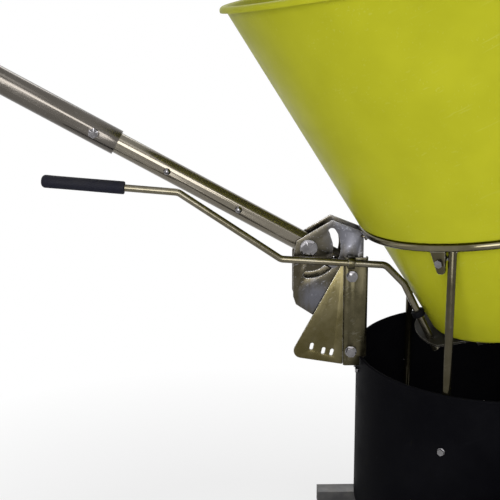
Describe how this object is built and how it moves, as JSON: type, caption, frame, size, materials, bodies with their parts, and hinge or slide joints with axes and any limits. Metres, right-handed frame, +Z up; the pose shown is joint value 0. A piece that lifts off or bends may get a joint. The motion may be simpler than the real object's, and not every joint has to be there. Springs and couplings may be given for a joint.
{
  "type": "broadcast spreader",
  "caption": "Walk-behind broadcast spreader with a leaning cone hopper over a spread-limiting drum, a telescoping handle and a rod-worked gate.",
  "frame": {"origin": "the middle of the outline on the ground under the machine", "axes": "+X forward, away from the handle; +Y to the left of a person pushing; +Z up"},
  "size_m": [1.2778, 0.667, 1.0658],
  "materials": {
    "hopper_yellow": "semi-gloss moulded plastic",
    "drum_black": "satin black plastic",
    "bright_chrome": "bright chrome plate",
    "zinc_sheet": "dull zinc-plated sheet",
    "zinc_bolt": "bright zinc-plated fasteners",
    "rod_chrome": "zinc-plated round bar",
    "grip_rubber": "black rubber",
    "frame_paint": "satin black paint",
    "bush_bronze": "plain bronze",
    "bush_plastic": "black bearing plastic",
    "shaft_steel": "turned steel",
    "case_iron": "painted casting",
    "gear_steel": "oiled steel",
    "spinner_plastic": "pale moulded plastic",
    "wheel_steel": "white-grey paint",
    "tyre_rubber": "black tyre rubber"
  },
  "bodies": {
    "frame": {"hopper": "hopper_yellow", "floor_bush": "bush_plastic", "gate_rails": "zinc_sheet", "gate_rail_screws": "zinc_bolt", "support_ring": "bright_chrome", "ring_tabs": "zinc_sheet", "tab_screws": "zinc_bolt", "leg_rear_right": "bright_chrome", "leg_rear_left": "bright_chrome", "leg_front_right": "bright_chrome", "leg_front_left": "bright_chrome", "drum": "drum_black", "drum_screws": "zinc_bolt", "crossbar_rear": "frame_paint", "crossbar_front": "frame_paint", "rail_right": "frame_paint", "rail_left": "frame_paint", "rear_stand": "frame_paint", "axle_bushes": "bush_bronze", "gear_housing": "case_iron", "housing_cover": "case_iron", "cover_screws": "zinc_bolt", "housing_bolts": "zinc_bolt", "shaft_bush": "bush_bronze", "handle_bracket": "zinc_sheet", "post": "zinc_sheet", "post_bolts": "zinc_bolt", "post_nuts": "zinc_bolt", "gusset_plate": "zinc_sheet", "drum_bracket": "zinc_sheet", "drum_bracket_screws": "zinc_bolt", "rod_guide": "zinc_sheet", "pivot_bolt": "zinc_bolt", "pivot_nut": "zinc_bolt"},
    "axle_set": {"axle": "shaft_steel", "axle_nuts": "zinc_bolt", "free_wheel_nut": "zinc_bolt", "bevel_gear": "gear_steel", "wheel_left": "wheel_steel", "tyre_left": "tyre_rubber"},
    "free_wheel": {"wheel_right": "wheel_steel", "tyre_right": "tyre_rubber"},
    "spinner_set": {"bevel_pinion": "gear_steel", "spinner_shaft": "shaft_steel", "spinner_disc": "spinner_plastic", "agitator": "shaft_steel"},
    "lower_handle": {"handle_tube": "bright_chrome", "tube_rivets": "bright_chrome", "slot_bolt": "zinc_bolt", "slot_nut": "zinc_bolt"},
    "upper_handle": {"handle_sleeve": "bright_chrome", "clamp_screw": "zinc_bolt", "handle_crossbar": "bright_chrome", "grip_right": "grip_rubber", "grip_left": "grip_rubber"},
    "rod_set": {"control_rod": "rod_chrome", "lever_grip": "grip_rubber", "rod_stop": "grip_rubber"},
    "gate_plate": {"gate": "zinc_sheet"}
  },
  "joints": [
    {"name": "axle_spin", "type": "hinge", "parent": "frame", "child": "axle_set", "pos_m": [0.39713, 0, 0.18], "axis": [0, 1, 0], "continuous": true},
    {"name": "free_wheel_spin", "type": "hinge", "parent": "axle_set", "child": "free_wheel", "pos_m": [0.39713, -0.27, 0.18], "axis": [0, 1, 0], "continuous": true},
    {"name": "spinner_spin", "type": "hinge", "parent": "frame", "child": "spinner_set", "pos_m": [0.39713, 0, 0.3], "axis": [0, 0, 1], "continuous": true},
    {"name": "handle_pivot", "type": "hinge", "parent": "frame", "child": "lower_handle", "pos_m": [0.10219, 0, 0.61901], "axis": [0, 1, 0], "range_deg": [-56, 34]},
    {"name": "handle_extend", "type": "slide", "parent": "lower_handle", "child": "upper_handle", "axis": [-0.8712, 0, 0.4909], "range_m": [-0.07, 0.11]},
    {"name": "rod_slide", "type": "slide", "parent": "frame", "child": "rod_set", "axis": [-0.9976, 0, 0.0698], "range_m": [0, 0.03553]},
    {"name": "gate_slide", "type": "slide", "parent": "frame", "child": "gate_plate", "axis": [-0.9848, 0, -0.1736], "range_m": [0, 0.0322]}
  ],
  "couplings": [
    {"joint": "spinner_spin", "follows": "axle_spin", "ratio": -3},
    {"joint": "gate_slide", "follows": "rod_slide", "ratio": 0.90072}
  ]
}
